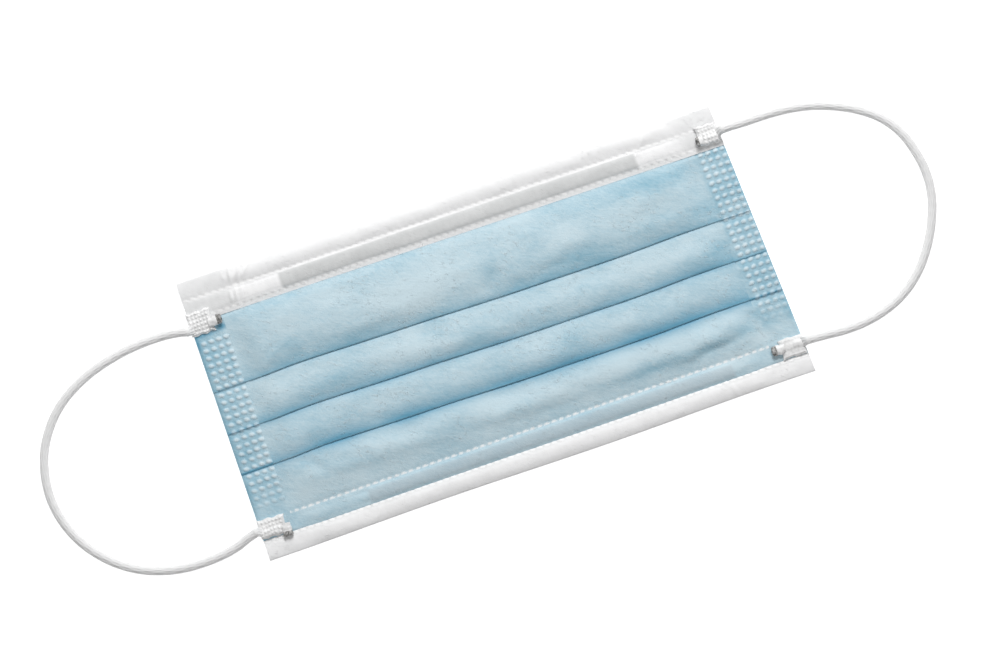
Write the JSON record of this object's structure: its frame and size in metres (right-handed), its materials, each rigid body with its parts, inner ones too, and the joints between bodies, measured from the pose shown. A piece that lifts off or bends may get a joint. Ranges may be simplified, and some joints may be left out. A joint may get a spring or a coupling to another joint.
{
  "type": "surgical face mask",
  "caption": "Flat pleated surgical face mask, blue outside and white inside, with a nose wire and an elastic ear loop welded on at each side.",
  "frame": {"origin": "middle of the mask body, without its ear loops, on the surface it lies on", "axes": "+X across the mask to the viewer's right when looking at the front face with the nose edge up, +Y towards the nose edge, +Z out of the front face"},
  "size_m": [0.2936, 0.091, 0.0063],
  "materials": {
    "blue_nonwoven": "matt light blue spunbond nonwoven",
    "white_nonwoven": "matt white spunbond nonwoven",
    "coated_wire": "wire coated in light grey plastic",
    "plastic_strip": "plain light plastic",
    "elastic": "white knitted round elastic"
  },
  "bodies": {
    "root": {"pleated_panel": "blue_nonwoven", "top_hem": "white_nonwoven", "bottom_hem": "white_nonwoven", "nose_wire": "coated_wire", "chin_strip": "plastic_strip", "loop_end_top_left": "elastic", "loop_end_bottom_left": "elastic", "loop_end_top_right": "elastic", "loop_end_bottom_right": "elastic", "ear_loop_left": "elastic", "ear_loop_right": "elastic"}
  },
  "joints": []
}
